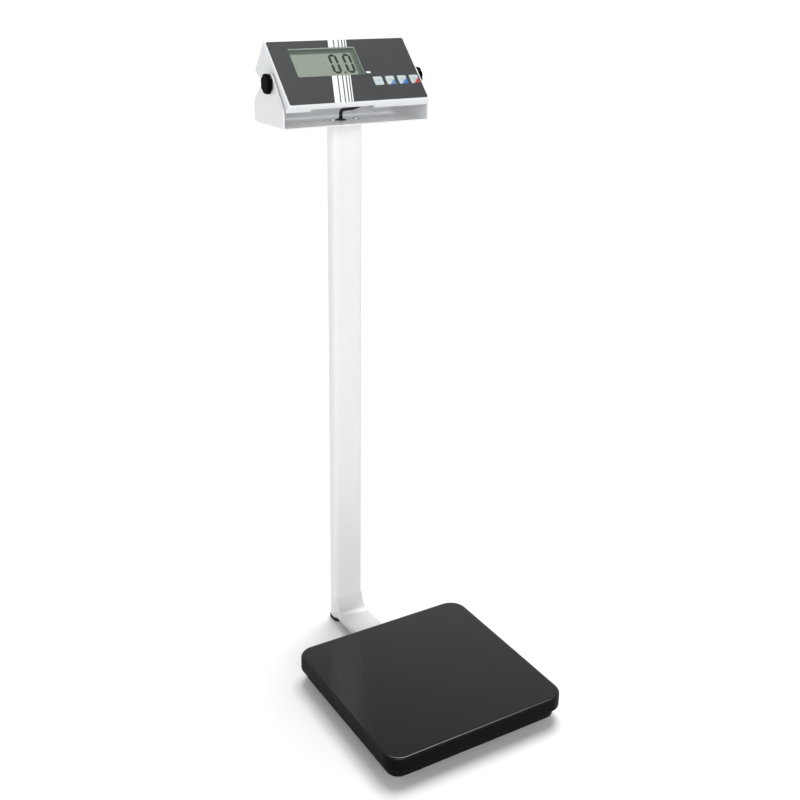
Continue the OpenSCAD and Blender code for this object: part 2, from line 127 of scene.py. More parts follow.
def curved(a, p, b, cut, steps=8):
    """Corner p of the path a-p-b, cut back and curved."""
    a, p, b = Vector(a), Vector(p), Vector(b)
    back = min(cut, (a - p).length * 0.49, (b - p).length * 0.49)
    start = p + (a - p).normalized() * back
    end = p + (b - p).normalized() * back
    ts = [i / steps for i in range(steps + 1)]
    return [(1 - t) ** 2 * start + 2 * t * (1 - t) * p + t * t * end for t in ts]


def soft(corners, cuts, steps=8):
    """Closed outline with every corner curved."""
    count = len(corners)
    points = []
    for i, cut in enumerate(cuts):
        points += curved(corners[i - 1], corners[i], corners[(i + 1) % count], cut, steps)
    return points


def shrunk(points, inset):
    """An anticlockwise outline moved inwards."""
    out = []
    for i, p in enumerate(points):
        before = (p - points[i - 1]).normalized()
        after = (points[(i + 1) % len(points)] - p).normalized()
        normal = Vector((-before.y - after.y, before.x + after.x)).normalized()
        square = max(0.4, normal.dot(Vector((-before.y, before.x))))
        out.append(p + normal * inset / square)
    return out


def rounded_rect(width, depth, radius, steps=8):
    """Points round a rounded rectangle about the origin, anticlockwise."""
    points = []
    x, y = width / 2 - radius, depth / 2 - radius
    for quarter, (sx, sy) in enumerate(((1, 1), (-1, 1), (-1, -1), (1, -1))):
        for k in range(steps + 1):
            a = math.pi / 2 * (quarter + k / steps)
            points.append(Vector((sx * x + radius * math.cos(a), sy * y + radius * math.sin(a))))
    return points


def circle(radius, steps=48):
    return [Vector((radius * math.cos(a), radius * math.sin(a))) for a in
            (2 * math.pi * k / steps for k in range(steps))]


def fillet(across, up, radius, start, end, steps=5):
    """(across, up) points of an arc, its angles in degrees."""
    angles = [math.radians(start + (end - start) * k / steps) for k in range(steps + 1)]
    return [(across + radius * math.cos(a), up + radius * math.sin(a)) for a in angles]


def loft(bm, rings, closed=False):
    """Skin over rings of as many points each, with caps, or joined last to first."""
    loops = [[bm.verts.new(p) for p in ring] for ring in rings]
    if closed:
        loops.append(loops[0])
    count = len(loops[0])
    for a, b in zip(loops, loops[1:]):
        for i in range(count):
            j = (i + 1) % count
            bm.faces.new((a[i], a[j], b[j], b[i]))
    if not closed:
        bm.faces.new(list(reversed(loops[0])))
        bm.faces.new(loops[-1])


def slab(bm, width, depth, radius, profile, centre=(0, 0), steps=8, closed=False):
    """Rounded rectangle carried along a profile of (inset, z)."""
    rings = []
    for inset, z in profile:
        ring = rounded_rect(width - 2 * inset, depth - 2 * inset, max(radius - inset, 0.15), steps)
        rings.append([(p.x + centre[0], p.y + centre[1], z) for p in ring])
    loft(bm, rings, closed)


def lathe(bm, profile, steps=48, closed=False, wave=None):
    """Profile of (radius, z) turned about Z. wave(angle, radius) reshapes each ring."""
    rings = []
    for radius, z in profile:
        ring = circle(radius, steps)
        if wave:
            ring = [p * wave(math.atan2(p.y, p.x), radius, z) for p in ring]
        rings.append([(p.x, p.y, z) for p in ring])
    loft(bm, rings, closed)


def along_x(bm, outline, profile):
    """Outline of the YZ plane carried along X by a profile of (inset, x)."""
    loft(bm, [[(x, p.x, p.y) for p in shrunk(outline, inset)] for inset, x in profile])


def block(bm, low, high):
    """Plain box, for cutting with."""
    corners = [(low[0], low[1]), (high[0], low[1]), (high[0], high[1]), (low[0], high[1])]
    loft(bm, [[(x, y, z) for x, y in corners] for z in (low[2], high[2])])


def solid(name, build, *args, **named):
    """New object from build(bm, ...), its points in mm."""
    bm = bmesh.new()
    build(bm, *args, **named)
    bmesh.ops.recalc_face_normals(bm, faces=bm.faces)
    bmesh.ops.scale(bm, vec=(MM, MM, MM), verts=bm.verts)
    mesh = bpy.data.meshes.new(name)
    bm.to_mesh(mesh)
    bm.free()
    obj = bpy.data.objects.new(name, mesh)
    bpy.context.scene.collection.objects.link(obj)
    return obj


def settle(obj):
    """Makes an object's modifiers part of its mesh."""
    bpy.context.view_layer.update()
    graph = bpy.context.evaluated_depsgraph_get()
    old = obj.data
    obj.data = bpy.data.meshes.new_from_object(obj.evaluated_get(graph))
    obj.modifiers.clear()
    bpy.data.meshes.remove(old)


def cut(obj, cutter, operation="DIFFERENCE"):
    """Boolean of obj with cutter, which is used up."""
    step = obj.modifiers.new("cut", "BOOLEAN")
    step.object = cutter
    step.operation = operation
    step.solver = "EXACT"
    settle(obj)
    mesh = cutter.data
    bpy.data.objects.remove(cutter)
    bpy.data.meshes.remove(mesh)


def cut_block(obj, low, high, operation="DIFFERENCE"):
    cut(obj, solid("cutter", block, low, high), operation)


def moved(obj, matrix):
    """Moves an object's own points by a matrix in mm."""
    scaled = matrix.copy()
    scaled.translation *= MM
    obj.data.transform(scaled)
    return obj


def joined(name, objs):
    """One object from several."""
    bm = bmesh.new()
    for o in objs:
        bm.from_mesh(o.data)
        mesh = o.data
        bpy.data.objects.remove(o)
        bpy.data.meshes.remove(mesh)
    mesh = bpy.data.meshes.new(name)
    bm.to_mesh(mesh)
    bm.free()
    obj = bpy.data.objects.new(name, mesh)
    bpy.context.scene.collection.objects.link(obj)
    return obj


def copies(obj, places):
    """Copies of obj at each matrix in mm, as one object."""
    made = []
    for m in places:
        twin = bpy.data.objects.new("copy", obj.data.copy())
        made.append(moved(twin, m))
    name = obj.name
    mesh = obj.data
    bpy.data.objects.remove(obj)
    bpy.data.meshes.remove(mesh)
    return joined(name, made)


def shade(obj, sharp=40, bevel=0.0, steps=2, bevel_angle=35):
    """Rounds the sharp edges by bevel mm, and shades the rest smoothly."""
    if bevel:
        step = obj.modifiers.new("round", "BEVEL")
        step.width = bevel * MM
        step.segments = steps
        step.limit_method = "ANGLE"
        step.angle_limit = math.radians(bevel_angle)
        step.use_clamp_overlap = True
        settle(obj)
    mesh = obj.data
    mesh.polygons.foreach_set("use_smooth", [True] * len(mesh.polygons))
    mesh.set_sharp_from_angle(angle=math.radians(sharp))
    weights = obj.modifiers.new("weights", "WEIGHTED_NORMAL")
    weights.keep_sharp = True
    weights.weight = 80


def piece(obj, material, body, slot, nodes=(), place=None, **shading):
    """Finishes an object as a piece of the visual model."""
    shade(obj, **shading)
    obj.data.materials.clear()
    obj.data.materials.append(material)
    if place is not None:
        matrix = place.copy()
        matrix.translation *= MM
        obj.matrix_world = matrix
    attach(obj, body)
    if nodes:
        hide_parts(*nodes)
    return obj


# ---- Materials ----


class Look:
    """Node tree of one material, with a Principled shader."""

    def __init__(self, name, **numbers):
        self.material = bpy.data.materials.new(name)
        self.material.use_nodes = True
        self.tree = self.material.node_tree
        self.shader = self.tree.nodes["Principled BSDF"]
        self.output = self.tree.nodes["Material Output"]
        self.place = self.add("ShaderNodeTexCoord").outputs["Object"]
        for socket, value in numbers.items():
            self.shader.inputs[socket.replace("_", " ")].default_value = value

    def add(self, kind, **settings):
        node = self.tree.nodes.new(kind)
        for key, value in settings.items():
            setattr(node, key, value)
        return node

    def feed(self, socket, value):
        """Links a socket, or sets it to a number or colour."""
        if isinstance(value, bpy.types.NodeSocket):
            self.tree.links.new(value, socket)
        else:
            socket.default_value = value

    def math(self, operation, *values, clamp=False):
        node = self.add("ShaderNodeMath", operation=operation, use_clamp=clamp)
        for socket, value in zip(node.inputs, values):
            self.feed(socket, value)
        return node.outputs[0]

    def axes(self):
        """The place's X, Y and Z, in mm."""
        node = self.add("ShaderNodeSeparateXYZ")
        self.feed(node.inputs[0], self.place)
        return [self.math("DIVIDE", s, MM) for s in node.outputs]

    def noise(self, size, detail=2.0, stretch=None, roughness=0.5):
        """Noise whose features are about size mm."""
        where = self.place
        if stretch:
            scaled = self.add("ShaderNodeMapping")
            self.feed(scaled.inputs["Vector"], self.place)
            scaled.inputs["Scale"].default_value = stretch
            where = scaled.outputs[0]
        node = self.add("ShaderNodeTexNoise")
        self.feed(node.inputs["Vector"], where)
        node.inputs["Scale"].default_value = 1 / (size * MM)
        node.inputs["Detail"].default_value = detail
        node.inputs["Roughness"].default_value = roughness
        return node.outputs["Fac"]

    def between(self, value, low, high, to_low, to_high):
        node = self.add("ShaderNodeMapRange")
        for socket, number in zip(node.inputs, (value, low, high, to_low, to_high)):
            self.feed(socket, number)
        return node.outputs[0]

    def mix(self, share, a, b):
        node = self.add("ShaderNodeMix", data_type="RGBA")
        self.feed(node.inputs["Factor"], share)
        for name, value in (("A", a), ("B", b)):
            sockets = [s for s in node.inputs if s.name == name and s.type == "RGBA"]
            value = value if isinstance(value, bpy.types.NodeSocket) else (*value, 1)
            self.feed(sockets[0], value)
        return next(s for s in node.outputs if s.type == "RGBA")

    def bump(self, *layers):
        """Bump from (height socket, mm) layers."""
        normal = None
        for height, depth in layers:
            node = self.add("ShaderNodeBump")
            node.inputs["Strength"].default_value = 1.0
            node.inputs["Distance"].default_value = depth * MM
            self.feed(node.inputs["Height"], height)
            if normal:
                self.feed(node.inputs["Normal"], normal)
            normal = node.outputs[0]
        self.feed(self.shader.inputs["Normal"], normal)

    def colour(self, value):
        self.feed(self.shader.inputs["Base Color"], value)

    def rough(self, value):
        self.feed(self.shader.inputs["Roughness"], value)

    def below(self, value, limit, blur=0.12):
        """1 where value is under limit, with a short blend."""
        return self.between(value, limit - blur, limit + blur, 1.0, 0.0)

    def inside(self, value, low, high, blur=0.12):
        centre, half = (low + high) / 2, (high - low) / 2
        return self.below(self.math("ABSOLUTE", self.math("SUBTRACT", value, centre)), half, blur)

    def both(self, *masks):
        result = masks[0]
        for mask in masks[1:]:
            result = self.math("MULTIPLY", result, mask)
        return result


def scaled_colour(colour, factor):
    return tuple(min(1.0, c * factor) for c in colour)


def coated(name, colour, roughness, grain, depth, vary=0.05, rough_vary=0.06, drift=60, **numbers):
    """Painted or moulded surface: colour and gloss drift slowly, under a fine grain of grain mm."""
    look = Look(name, **numbers)
    slow = look.noise(drift, 3.0)
    look.colour(look.mix(slow, scaled_colour(colour, 1 - vary), scaled_colour(colour, 1 + vary)))
    smear = look.noise(drift * 0.22, 4.0)
    look.rough(look.between(smear, 0.3, 0.7, roughness - rough_vary, roughness + rough_vary))
    look.bump((look.noise(grain, 2.0), depth), (look.noise(grain * 5, 1.0), depth * 0.8))
    return look.material


def metal(name, colour, roughness, stretch=(1, 1, 1), grain=0.6, depth=0.012):
    """Bare or plated metal with a brushed or mottled grain."""
    look = Look(name, Metallic=1.0)
    lines = look.noise(grain, 4.0, stretch)
    patches = look.noise(4, 3.0)
    look.colour(look.mix(patches, scaled_colour(colour, 0.82), scaled_colour(colour, 1.05)))
    mixed = look.math("ADD", look.math("MULTIPLY", lines, 0.6), look.math("MULTIPLY", patches, 0.4))
    look.rough(look.between(mixed, 0.3, 0.7, roughness - 0.1, roughness + 0.12))
    look.bump((lines, depth))
    return look.material


def plate_look():
    """Black paint: glossy on the top face and matt on the flange, set to match the photograph's blacks."""
    look = Look("plate_paint", Specular_IOR_Level=0.03, Coat_Roughness=0.17)
    _, _, z = look.axes()
    top_z = node_box("weighing_plate")[1].z
    look.feed(look.shader.inputs["Coat Weight"], look.between(z, top_z - 2.5, top_z - 0.3, 0.0, 0.85))
    slow = look.noise(60, 3.0)
    look.colour(look.mix(slow, (0.0028, 0.003, 0.0031), (0.0038, 0.004, 0.0041)))
    look.rough(look.between(look.noise(13, 4.0), 0.3, 0.7, 0.38, 0.48))
    look.bump((look.noise(0.8, 2.0), 0.012), (look.noise(4.0, 1.0), 0.01))
    return look.material


STRIPES = [(-14.0, 8.5), (-3.7, 6.0), (4.1, 4.0), (9.9, 3.0), (14.6, 2.0)]  # left edge at the top, width
STRIPE_LEAN = 0.26


def foil_look():
    """Printed graphite foil: slanting light stripes and one unit mark, on a fine matt emboss."""
    look = Look("foil_print", Specular_IOR_Level=0.2)
    x, u, _ = look.axes()
    run = look.math("SUBTRACT", x, look.math("MULTIPLY", look.math("SUBTRACT", u, FOIL_TOP), STRIPE_LEAN))
    print_mask = look.both(look.inside(x, 27.5, 34.5), look.inside(u, -5.5, -2.2))
    for left, width in STRIPES:
        print_mask = look.math("MAXIMUM", print_mask, look.inside(run, left, left + width))
    slow = look.noise(45, 3.0)
    ground = look.mix(slow, (0.04, 0.042, 0.0435), (0.046, 0.048, 0.0495))
    look.colour(look.mix(print_mask, ground, (0.78, 0.8, 0.8)))
    look.rough(look.between(look.noise(12, 4.0), 0.3, 0.7, 0.4, 0.52))
    look.bump((look.noise(0.35, 2.0), 0.012), (look.noise(40, 1.0), 0.06))
    return look.material


def lcd_look():
    """Reflective LCD: grey-green, with a darker band along the top and a faint frame."""
    look = Look("lcd_panel")
    x, u, _ = look.axes()
    slow = look.noise(30, 2.0)
    ground = look.mix(slow, (0.345, 0.355, 0.315), (0.375, 0.385, 0.345))
    dark = look.math("MAXIMUM", look.inside(u, 35.0, 50.0, 0.5), look.inside(x, 16.0, 30.0, 0.5))
    look.colour(look.mix(look.math("MULTIPLY", dark, 0.8), ground, (0.085, 0.098, 0.088)))
    look.rough(look.between(look.noise(5, 3.0), 0.3, 0.7, 0.28, 0.36))
    look.bump((look.noise(0.5, 1.0), 0.004))
    return look.material


def lens_look():
    """Clear lens: what is under it shows through, and it mirrors at its own gloss."""
    look = Look("lens_clear")
    tree = look.tree
    clear = look.add("ShaderNodeBsdfTransparent")
    clear.inputs["Color"].default_value = (0.93, 0.96, 0.94, 1)
    gloss = look.add("ShaderNodeBsdfGlossy")
    look.feed(gloss.inputs["Roughness"], look.between(look.noise(9, 3.0), 0.3, 0.7, 0.08, 0.16))
    fresnel = look.add("ShaderNodeFresnel")
    fresnel.inputs["IOR"].default_value = 1.45
    inner = look.add("ShaderNodeNewGeometry").outputs["Backfacing"]
    share = look.math("MULTIPLY", fresnel.outputs[0], look.math("SUBTRACT", 1.0, inner))
    mix = look.add("ShaderNodeMixShader")
    look.feed(mix.inputs[0], share)
    look.feed(mix.inputs[1], clear.outputs[0])
    look.feed(mix.inputs[2], gloss.outputs[0])
    tree.nodes.remove(look.shader)
    look.feed(look.output.inputs["Surface"], mix.outputs[0])
    return look.material


TINT_EDGE = -4.5  # u - x along the tinted corner's edge


def key_look(name, tint, mark):
    """Light key with a tinted lower right corner, a thin outline and one plain symbol."""
    look = Look(name, Coat_Weight=0.3)
    x, u, _ = look.axes()
    edge = look.math("MAXIMUM", look.math("ABSOLUTE", x), look.math("ABSOLUTE", u))
    slow = look.noise(5, 2.0)
    colour = look.mix(slow, (0.47, 0.54, 0.56), (0.53, 0.6, 0.62))
    if tint:
        corner = look.below(look.math("SUBTRACT", u, x), TINT_EDGE, 1.2)
        colour = look.mix(corner, colour, tint)
    ink = symbol(look, x, u, mark)
    colour = look.mix(look.math("MULTIPLY", ink, 0.75), colour, (0.12, 0.13, 0.14))
    outline = look.math("MULTIPLY", look.inside(edge, 6.4, 6.7, 0.08), 0.5)
    colour = look.mix(outline, colour, (0.3, 0.32, 0.34))
    look.colour(colour)
    look.rough(look.between(look.noise(2, 3.0), 0.3, 0.7, 0.28, 0.4))
    look.bump((look.noise(0.3, 2.0), 0.008))
    return look.material


def symbol(look, x, u, mark):
    """Mask of a plain key symbol: arrow, dash, ring or power."""
    x2, u2 = look.math("MULTIPLY", x, x), look.math("MULTIPLY", u, u)
    far = look.math("SQRT", look.math("ADD", x2, u2))
    ring = look.inside(far, 2.3, 3.0, 0.08)
    if mark == "ring":
        return ring
    if mark == "dash":
        return look.both(look.inside(x, -2.8, 2.8), look.inside(u, -0.4, 0.4))
    bar = look.both(look.inside(x, -0.35, 0.35), look.inside(u, 0.6, 3.8))
    if mark == "power":
        mouth = look.both(look.inside(x, -1.1, 1.1), look.inside(u, 0.0, 4.0))
        return look.math("MAXIMUM", look.math("SUBTRACT", ring, mouth, clamp=True), bar)
    lines = look.math("PINGPONG", look.math("ADD", u, 3.0), 1.0)
    return look.both(look.below(lines, 0.3, 0.08), look.inside(x, -2.6, 2.6), look.inside(u, -2.5, 2.5))


def board_look():
    """Solder mask with paler tracks on a square raster."""
    look = Look("board_mask", Coat_Weight=0.4)
    x, u, _ = look.axes()
    brick = look.add("ShaderNodeTexBrick")
    look.feed(brick.inputs["Vector"], look.place)
    brick.inputs["Scale"].default_value = 160
    brick.inputs["Mortar Size"].default_value = 0.03
    tracks = look.math("SUBTRACT", 1.0, brick.outputs["Fac"])
    ground = look.mix(look.noise(20), (0.012, 0.1, 0.05), (0.02, 0.14, 0.07))
    look.colour(look.mix(tracks, (0.05, 0.22, 0.1), ground))
    look.rough(look.between(look.noise(3, 3.0), 0.3, 0.7, 0.3, 0.45))
    look.bump((tracks, 0.03))
    return look.material


def battery_look():
    """Two-tone shrink sleeve."""
    look = Look("battery_sleeve", Coat_Weight=0.5)
    x, _, _ = look.axes()
    ground = look.mix(look.noise(8), (0.02, 0.05, 0.1), (0.03, 0.07, 0.14))
    look.colour(look.mix(look.below(x, 50.0, 0.2), ground, (0.5, 0.3, 0.12)))
    look.rough(look.between(look.noise(4, 3.0), 0.3, 0.7, 0.25, 0.4))
    look.bump((look.noise(1.5, 2.0), 0.03))
    return look.material


WHITE_PAINT = (0.7, 0.71, 0.72)
LOOKS = {
    "plate_black": plate_look(),
    "base_black": coated("base_paint", (0.003, 0.003, 0.0032), 0.5, 0.8, 0.02, 0.15,
                         Specular_IOR_Level=0.1),
    "stand_white": coated("stand_paint", WHITE_PAINT, 0.32, 1.3, 0.02, 0.02, 0.05),
    "housing_white": coated("housing_plastic", (0.69, 0.71, 0.725), 0.45, 0.5, 0.014, 0.02, 0.05),
    "foil_grey": foil_look(),
    "knob_black": coated("knob_plastic", (0.002, 0.002, 0.0022), 0.45, 0.5, 0.015, 0.2,
                         Specular_IOR_Level=0.015),
    "rubber_black": coated("rubber", (0.013, 0.013, 0.013), 0.62, 0.5, 0.02, 0.2),
    "cable_black": coated("cable_sheath", (0.01, 0.01, 0.0105), 0.4, 1.2, 0.02, 0.2),
    "lcd_lens": lens_look(),
    "lcd_green": lcd_look(),
    "inner_black": coated("inner_plastic", (0.02, 0.02, 0.021), 0.5, 0.4, 0.012, 0.2),
    "steel_zinc": metal("zinc_plate", (0.62, 0.64, 0.66), 0.32),
    "cell_aluminium": metal("cell_milled", (0.74, 0.75, 0.76), 0.3, (1, 14, 14)),
    "brass_insert": metal("brass_turned", (0.72, 0.53, 0.24), 0.26, (12, 1, 1)),
    "board_green": board_look(),
    "battery_blue": battery_look(),
}
SEGMENT = coated("lcd_segment", (0.006, 0.011, 0.009), 0.4, 0.5, 0.004)


# ---- Camera, cable, light and floor ----

CAMERA_AT = (-799.1, -1309.7, 1100.6)
CAMERA_YAW, CAMERA_PITCH, CAMERA_ROLL = 31.22, 19.54, 0.83
CAMERA_LENS = 50.47
CAMERA_SHIFT = -0.07


def add_camera():
    """Camera at CAMERA_AT, turned right by yaw, down by pitch and rolled anticlockwise."""
    data = bpy.data.cameras.new("camera")
    data.lens = CAMERA_LENS
    data.sensor_width = 36.0
    data.shift_y = CAMERA_SHIFT
    data.clip_start, data.clip_end = 0.05, 60
    cam = bpy.data.objects.new("camera", data)
    yaw, pitch, roll = (math.radians(a) for a in (CAMERA_YAW, CAMERA_PITCH, CAMERA_ROLL))
    ahead = Vector((math.sin(yaw) * math.cos(pitch), math.cos(yaw) * math.cos(pitch), -math.sin(pitch)))
    right = Vector((math.cos(yaw), -math.sin(yaw), 0))
    up = right.cross(ahead)
    right, up = (right * math.cos(roll) + up * math.sin(roll), up * math.cos(roll) - right * math.sin(roll))
    turn = Matrix((right, up, -ahead)).transposed().to_4x4()
    cam.matrix_world = Matrix.Translation(Vector(CAMERA_AT) * MM) @ turn
    bpy.context.scene.collection.objects.link(cam)
    bpy.context.scene.camera = cam


def route(points, cut_back, steps=8):
    """Centreline through points with its corners curved."""
    line = [Vector(points[0])]
    for i in range(1, len(points) - 1):
        line += curved(points[i - 1], points[i], points[i + 1], cut_back, steps)
    return line + [Vector(points[-1])]


def tube(bm, line, radius, steps=20):
    """Round tube along a centreline, its rings carried along without twist."""
    rings = []
    side = None
    for i, p in enumerate(line):
        along = (line[min(i + 1, len(line) - 1)] - line[max(i - 1, 0)]).normalized()
        side = along.orthogonal() if side is None else side - along * side.dot(along)
        side.normalize()
        other = along.cross(side)
        rings.append([p + radius * (math.cos(a) * side + math.sin(a) * other) for a in
                      (2 * math.pi * k / steps for k in range(steps))])
    loft(bm, rings)


def display_point(x, u, w):
    """A point of the display's frame, in mm."""
    return DISPLAY @ Vector((x, u, w))


def add_display_cable():
    """The short cable from the column up into the display, drawn with the display at its rest tilt."""
    exit_point = display_point(RECESS_X[1] - 5, *GLAND)
    y, z = exit_point.y, exit_point.z
    low = COLUMN_TOP + PLATE_T + 1.8
    line = route([(RECESS_X[1] - 5, y, z), (9, y, z), (0, PIVOT.y - 31, PIVOT.z - 37),
                  (-5, PIVOT.y - 14, PIVOT.z - 40), (CABLE_X, PIVOT.y, PIVOT.z - 43.5),
                  (CABLE_X, PIVOT.y, low)], 9, 6)
    line.reverse()
    obj = solid("cable_display", tube, line, CABLE_D / 2)
    obj.data.materials.append(LOOKS["cable_black"])
    obj.data.polygons.foreach_set("use_smooth", [True] * len(obj.data.polygons))
    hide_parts("display_cable")
    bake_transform(obj)


FLOOR_SIZE = 60.0  # metres, each way from the middle
FLOOR_DEPTH = 20.0


def add_floor():
    """Plain pale floor."""
    look = Look("floor", Specular_IOR_Level=0.2)
    look.colour(look.mix(look.noise(900, 2.0), (0.9, 0.9, 0.9), (0.92, 0.92, 0.92)))
    look.rough(0.8)
    reach = FLOOR_SIZE / MM
    obj = solid("floor", block, (-reach, -reach, -FLOOR_DEPTH), (reach, reach, 0.0))
    obj.data.materials.append(look.material)


def sun(name, direction, strength, spread):
    """Soft directional lamp that shines along a direction."""
    data = bpy.data.lights.new(name, "SUN")
    data.energy = strength
    data.angle = math.radians(spread)
    lamp = bpy.data.objects.new(name, data)
    lamp.rotation_mode = "QUATERNION"
    lamp.rotation_quaternion = Vector(direction).to_track_quat("-Z", "Y")
    bpy.context.scene.collection.objects.link(lamp)


SKY = [(0.0, 1.0), (0.12, 1.0), (0.22, 0.62), (0.36, 0.62), (0.5, 0.8), (0.56, 0.68), (0.6, 0.46),
       (0.66, 0.14), (1.0, 0.09)]  # height, brightness


def add_light():
    """Surroundings that are white at the horizon and darker overhead, under two soft lamps."""
    world = bpy.data.worlds.new("studio")
    bpy.context.scene.world = world
    world.use_nodes = True
    nodes, links = world.node_tree.nodes, world.node_tree.links
    split = nodes.new("ShaderNodeSeparateXYZ")
    ramp = nodes.new("ShaderNodeValToRGB")
    links.new(nodes.new("ShaderNodeTexCoord").outputs["Generated"], split.inputs[0])
    links.new(split.outputs["Z"], ramp.inputs[0])
    links.new(ramp.outputs[0], nodes["Background"].inputs["Color"])
    stops = ramp.color_ramp.elements
    while len(stops) < len(SKY):
        stops.new(0.5)
    for stop, (height, brightness) in zip(stops, SKY):
        stop.position = height
        stop.color = (brightness, brightness, brightness, 1)
    sun("key", (0.45, 1.0, -0.4), 1.5, 50)
    sun("top", (-0.28, -0.3, -1), 2.6, 34)
    bpy.context.scene.view_settings.view_transform = "Standard"


# ---- Platform ----


def build_platform():
    plate_w, plate_d, top = 305.0, 300.0, node_box("weighing_plate")[1].z
    under = node_box("weighing_plate")[0].z
    sheet, corner, edge, hem = 2.5, 27.0, 3.2, 1.2
    profile = [(9.0, top), (4.6, top)] + fillet(edge, top - edge, edge, 90, 180, 7)
    profile += [(0.0, under + hem)] + fillet(hem, under + hem, hem, 180, 360, 6)[1:]
    profile += [(sheet, top - sheet - 1.5), (sheet + 1.5, top - sheet)]
    plate = solid("plate_pan", slab, plate_w, plate_d, corner, profile, steps=14)
    place = Matrix.Translation((PLATE.x, PLATE.y, 0))
    piece(plate, LOOKS["plate_black"], "plate", "plate_black", ["weighing_plate"], place, sharp=60)


def foot_wave(angle, radius, z):
    """Grip flutes round a levelling foot."""
    return 1 - 0.03 * (0.5 + 0.5 * math.cos(24 * angle)) if radius > 14 and z > 0.6 else 1.0


def build_feet():
    pad_top = 7.0
    pad = [(9.0, 0.0), (14.4, 0.0), (15.6, 0.6), (16.0, 1.6), (16.0, 4.6), (15.2, 6.0), (13.6, 6.7),
           (8.0, pad_top), (5.6, pad_top), (5.0, pad_top + 0.4), (4.2, pad_top + 0.4)]
    thread = [(4.0, pad_top - 1)]
    z = pad_top + 0.5
    while z < 19.0:
        thread += [(4.0, z), (3.45, z + 0.5)]
        z += 1.0
    thread += [(3.9, 19.4), (3.3, 20.0)]
    for node in ("foot_front_left", "foot_front_right", "foot_rear_left", "foot_rear_right"):
        at = middle(node)
        place = Matrix.Translation((at.x, at.y, 0))
        rubber = solid(node + "_pad", lathe, pad, 96, wave=foot_wave)
        piece(rubber, LOOKS["rubber_black"], node, "rubber_black", [node], place, sharp=50)
        stud = solid(node + "_stud", lathe, thread, 32)
        piece(stud, LOOKS["steel_zinc"], node, "steel_zinc", (), place, sharp=30)


# ---- Stand ----


def bar_rings(bm, width, height, radius, y0, y1, tube_wall):
    """Rounded box tube along Y, open at the front end."""
    outer = [(p.x, p.y) for p in rounded_rect(width, height, radius, 6)]
    inner = [(p.x, p.y) for p in rounded_rect(width - 2 * tube_wall, height - 2 * tube_wall, radius - 1, 6)]
    rings = [[(x, y1, z) for x, z in outer], [(x, y0 + 0.4, z) for x, z in outer]]
    rings += [[(x * 0.992, y0, z * 0.97) for x, z in outer], [(x, y0, z) for x, z in inner]]
    rings += [[(x, y1, z) for x, z in inner]]
    loft(bm, rings, True)


def elbow(bm, half_width, reach, steps=12):
    """Dressed weld fillet from the column's front down into the bar's top, smaller at its sides."""
    rings = []
    for x, share in ((-half_width, 0.86), (-half_width + 0.8, 0.95), (-half_width + 2.4, 1.0),
                     (half_width - 2.4, 1.0), (half_width - 0.8, 0.95), (half_width, 0.86)):
        size = reach * share
        ring = [(x, 0.4, -0.4), (x, 0.4, size)]
        ring += [(x, a, b) for a, b in fillet(-size, size, size - 0.25 * share, 0, -90, steps)]
        rings.append(ring + [(x, -size, -0.4)])
    loft(bm, rings)


def build_stand():
    low, high = node_box("foot_bar")
    height = high.z - low.z
    centre = (low + high) / 2
    place = Matrix.Translation((0, 0, centre.z))
    bar = solid("stand_bar", bar_rings, COLUMN_W, height, 3.0, low.y, high.y, 2.0)
    piece(bar, LOOKS["stand_white"], "base", "stand_white", ["foot_bar"], place)
    low, high = node_box("elbow_fillet")
    place = Matrix.Translation((COLUMN.x, high.y, low.z))
    weld = solid("stand_elbow", elbow, COLUMN_W / 2 - 1, high.z - low.z)
    piece(weld, LOOKS["stand_white"], "base", "stand_white", ["elbow_fillet"], place, sharp=50)

    low, high = node_box("column")
    tube_profile = [(0.0, low.z + 0.4), (0.0, high.z - 0.5), (0.25, high.z - 0.12), (0.6, high.z),
                    (1.6, high.z), (2.0, high.z - 0.4), (2.0, low.z + 0.2), (1.8, low.z), (0.3, low.z)]
    place = Matrix.Translation((COLUMN.x, COLUMN.y, 0))
    column = solid("column_tube", slab, COLUMN_W, COLUMN_D, COLUMN_CORNER, tube_profile, steps=12,
                   closed=True)
    cut_block(column, (-20, -20, 11), (12, 0, 19))
    piece(column, LOOKS["stand_white"], "base", "stand_white", ["column"], place)

    plug_profile = [(2.6, 0.0), (0.8, 0.0), (0.2, 0.4), (0.0, 1.2), (0.0, 4.9), (0.3, 5.6), (0.9, 6.0),
                    (3.3, 6.0), (3.3, 9.4), (4.0, 10.0)]
    plug = solid("column_foot", slab, COLUMN_W + 2, COLUMN_D + 2, 9.0, plug_profile, steps=10)
    piece(plug, LOOKS["rubber_black"], "base", "rubber_black", ["column_foot_plug"], place)

    ring = [(2.9, 0.15), (6.3, 0.15), (6.3, 2.6), (7.7, 2.6), (8.0, 2.9), (8.0, 3.3), (7.6, 3.8), (6.6, 4.1),
            (3.3, 4.1), (2.9, 3.8)]
    grommet = solid("column_grommet", lathe, ring, 48, True)
    place = Matrix.Translation((CABLE_X, COLUMN.y, COLUMN_TOP))
    piece(grommet, LOOKS["rubber_black"], "base", "rubber_black", ["cable_grommet"], place, sharp=50)


def bracket_section(inside, thick, rise, floor_z):
    """U section of the bracket as (x, z): outer wall anticlockwise, then back along the inner one."""
    outside, bend = inside + thick, 1.5
    outer = curved((outside, rise), (outside, floor_z), (-outside, floor_z), bend + thick, 8)
    outer += curved((outside, floor_z), (-outside, floor_z), (-outside, rise), bend + thick, 8)
    inner = curved((-inside, rise), (-inside, floor_z + thick), (inside, floor_z + thick), bend, 8)
    inner += curved((-inside, floor_z + thick), (inside, floor_z + thick), (inside, rise), bend, 8)
    right_rim, left_rim = Vector((outside, rise)), [Vector((-outside, rise)), Vector((-inside, rise))]
    return [right_rim] + outer + left_rim + inner + [Vector((inside, rise))]


